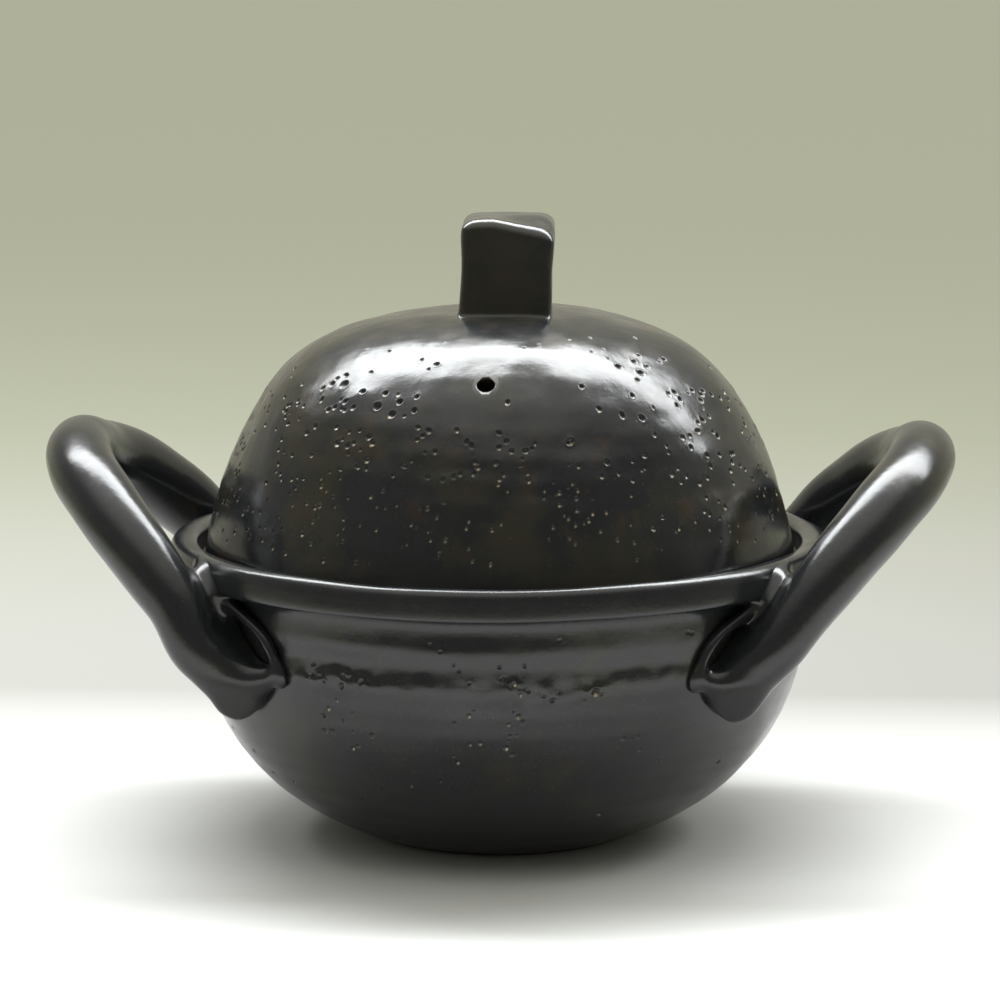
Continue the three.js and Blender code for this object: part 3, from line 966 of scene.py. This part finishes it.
def make_floor():
    """The pale paper on which the pot stands, with painted shade: darker and a little greener far
    away.
    """
    mesh = bpy.data.meshes.new("floor")
    h = FLOOR_HALF
    mesh.from_pydata([(-h, -h, 0), (h, -h, 0), (h, h, 0), (-h, h, 0)], [], [(0, 1, 2, 3)])
    floor = bpy.data.objects.new("floor", mesh)
    bpy.context.scene.collection.objects.link(floor)
    material = bpy.data.materials.new("studio_paper")
    material.use_nodes = True
    nodes = Nodes(material.node_tree)
    shader = material.node_tree.nodes["Principled BSDF"]
    where = nodes.add("ShaderNodeTexCoord").outputs["Object"]
    distance = nodes.add("ShaderNodeVectorMath", operation="LENGTH")
    nodes.feed(distance.inputs[0], where)
    # painted shade: the paper darkens with distance from the pot
    share = nodes.ramp(distance.outputs["Value"], *FLOOR_FADE)
    nodes.feed(shader.inputs["Base Color"], nodes.mix(share, FLOOR_NEAR, FLOOR_FAR_SHADED))
    shader.inputs["Roughness"].default_value = 0.9
    shader.inputs["Specular IOR Level"].default_value = 0.0
    mesh.materials.append(material)


SOFTBOX_SPAN = (-0.58, 0.90)       # left and right edge of the softbox behind the pot
SOFTBOX_FOOT = (0.240, 0.490)      # (y, z) of its lower edge
SOFTBOX_HEAD = (0.235, 1.150)      # (y, z) of its upper edge
SOFTBOX_RADIANCE = 14.0

WASH_SPAN = (-1.00, 0.00)          # the weaker panel overhead that lights the paper behind
WASH_FOOT = (0.65, 1.00)
WASH_HEAD = (0.05, 1.01)
WASH_RADIANCE = 3.3

LAMP_COLOUR = (0.95, 0.98, 1.0)


def make_panel(name, span, foot, head, radiance, mirrored):
    """A rectangular light between two level edges, facing -Y or down."""
    lean = (foot[0] - head[0], foot[1] - head[1])
    light = bpy.data.lights.new(name, "AREA")
    light.shape = "RECTANGLE"
    light.size = span[1] - span[0]
    light.size_y = math.hypot(*lean)
    light.energy = radiance * math.pi * light.size * light.size_y
    light.color = LAMP_COLOUR
    lamp = bpy.data.objects.new(name, light)
    lamp.location = (sum(span) / 2, (foot[0] + head[0]) / 2, (foot[1] + head[1]) / 2)
    lamp.rotation_euler = (math.atan2(lean[1], lean[0]), 0, 0)
    lamp.visible_camera = False
    lamp.visible_glossy = mirrored
    bpy.context.scene.collection.objects.link(lamp)


ROOM_BACK = (0.52, 0.50, 0.40, 1)
ROOM_FRONT = (0.20, 0.20, 0.18, 1)
ROOM_LEFT = (0.30, 0.30, 0.27, 1)
ROOM_CEILING = (1.35, 1.35, 1.25, 1)


def make_room():
    """A soft room: dark in front, paler behind, bright overhead and dim at the left."""
    world = bpy.data.worlds.new("room")
    bpy.context.scene.world = world
    world.use_nodes = True
    nodes = Nodes(world.node_tree)
    background = world.node_tree.nodes["Background"]
    direction = nodes.add("ShaderNodeTexCoord").outputs["Generated"]
    parts = nodes.add("ShaderNodeSeparateXYZ")
    nodes.feed(parts.inputs[0], direction)
    x, y, z = parts.outputs
    colour = nodes.mix(nodes.ramp(y, -0.6, 0.7), ROOM_FRONT, ROOM_BACK)
    left = nodes.maths("MULTIPLY", nodes.ramp(x, -0.2, -0.95), nodes.ramp(z, 0.08, 0.3))
    colour = nodes.mix(left, colour, ROOM_LEFT)
    colour = nodes.mix(nodes.ramp(z, 0.55, 0.95), colour, ROOM_CEILING)
    nodes.feed(background.inputs["Color"], colour)


def make_camera():
    data = bpy.data.cameras.new("camera")
    data.sensor_fit = "HORIZONTAL"
    data.sensor_width = 36
    data.lens = CAMERA_LENS
    data.clip_end = 60
    camera = bpy.data.objects.new("camera", data)
    camera.location = (CAMERA_DISTANCE * math.sin(CAMERA_AZIMUTH),
                       -CAMERA_DISTANCE * math.cos(CAMERA_AZIMUTH), CAMERA_HEIGHT)
    gaze = Vector(CAMERA_AIM) - camera.location
    camera.rotation_euler = gaze.to_track_quat("-Z", "Y").to_euler()
    bpy.context.scene.collection.objects.link(camera)
    bpy.context.scene.camera = camera


# ---- scene -------------------------------------------------------------------

bpy.context.scene.view_settings.view_transform = "Standard"
pot_glaze = glaze("pot_glaze", 0.06, 0.2)
lid_glaze = glaze("lid_glaze", 0.16, 0.5)
make_pot(pot_glaze)
make_handles(pot_glaze)
make_lid(lid_glaze)
make_knob(lid_glaze)
make_floor()
make_panel("softbox", SOFTBOX_SPAN, SOFTBOX_FOOT, SOFTBOX_HEAD, SOFTBOX_RADIANCE, True)
make_panel("wash", WASH_SPAN, WASH_FOOT, WASH_HEAD, WASH_RADIANCE, False)
make_room()
make_camera()

bpy.context.view_layer.update()
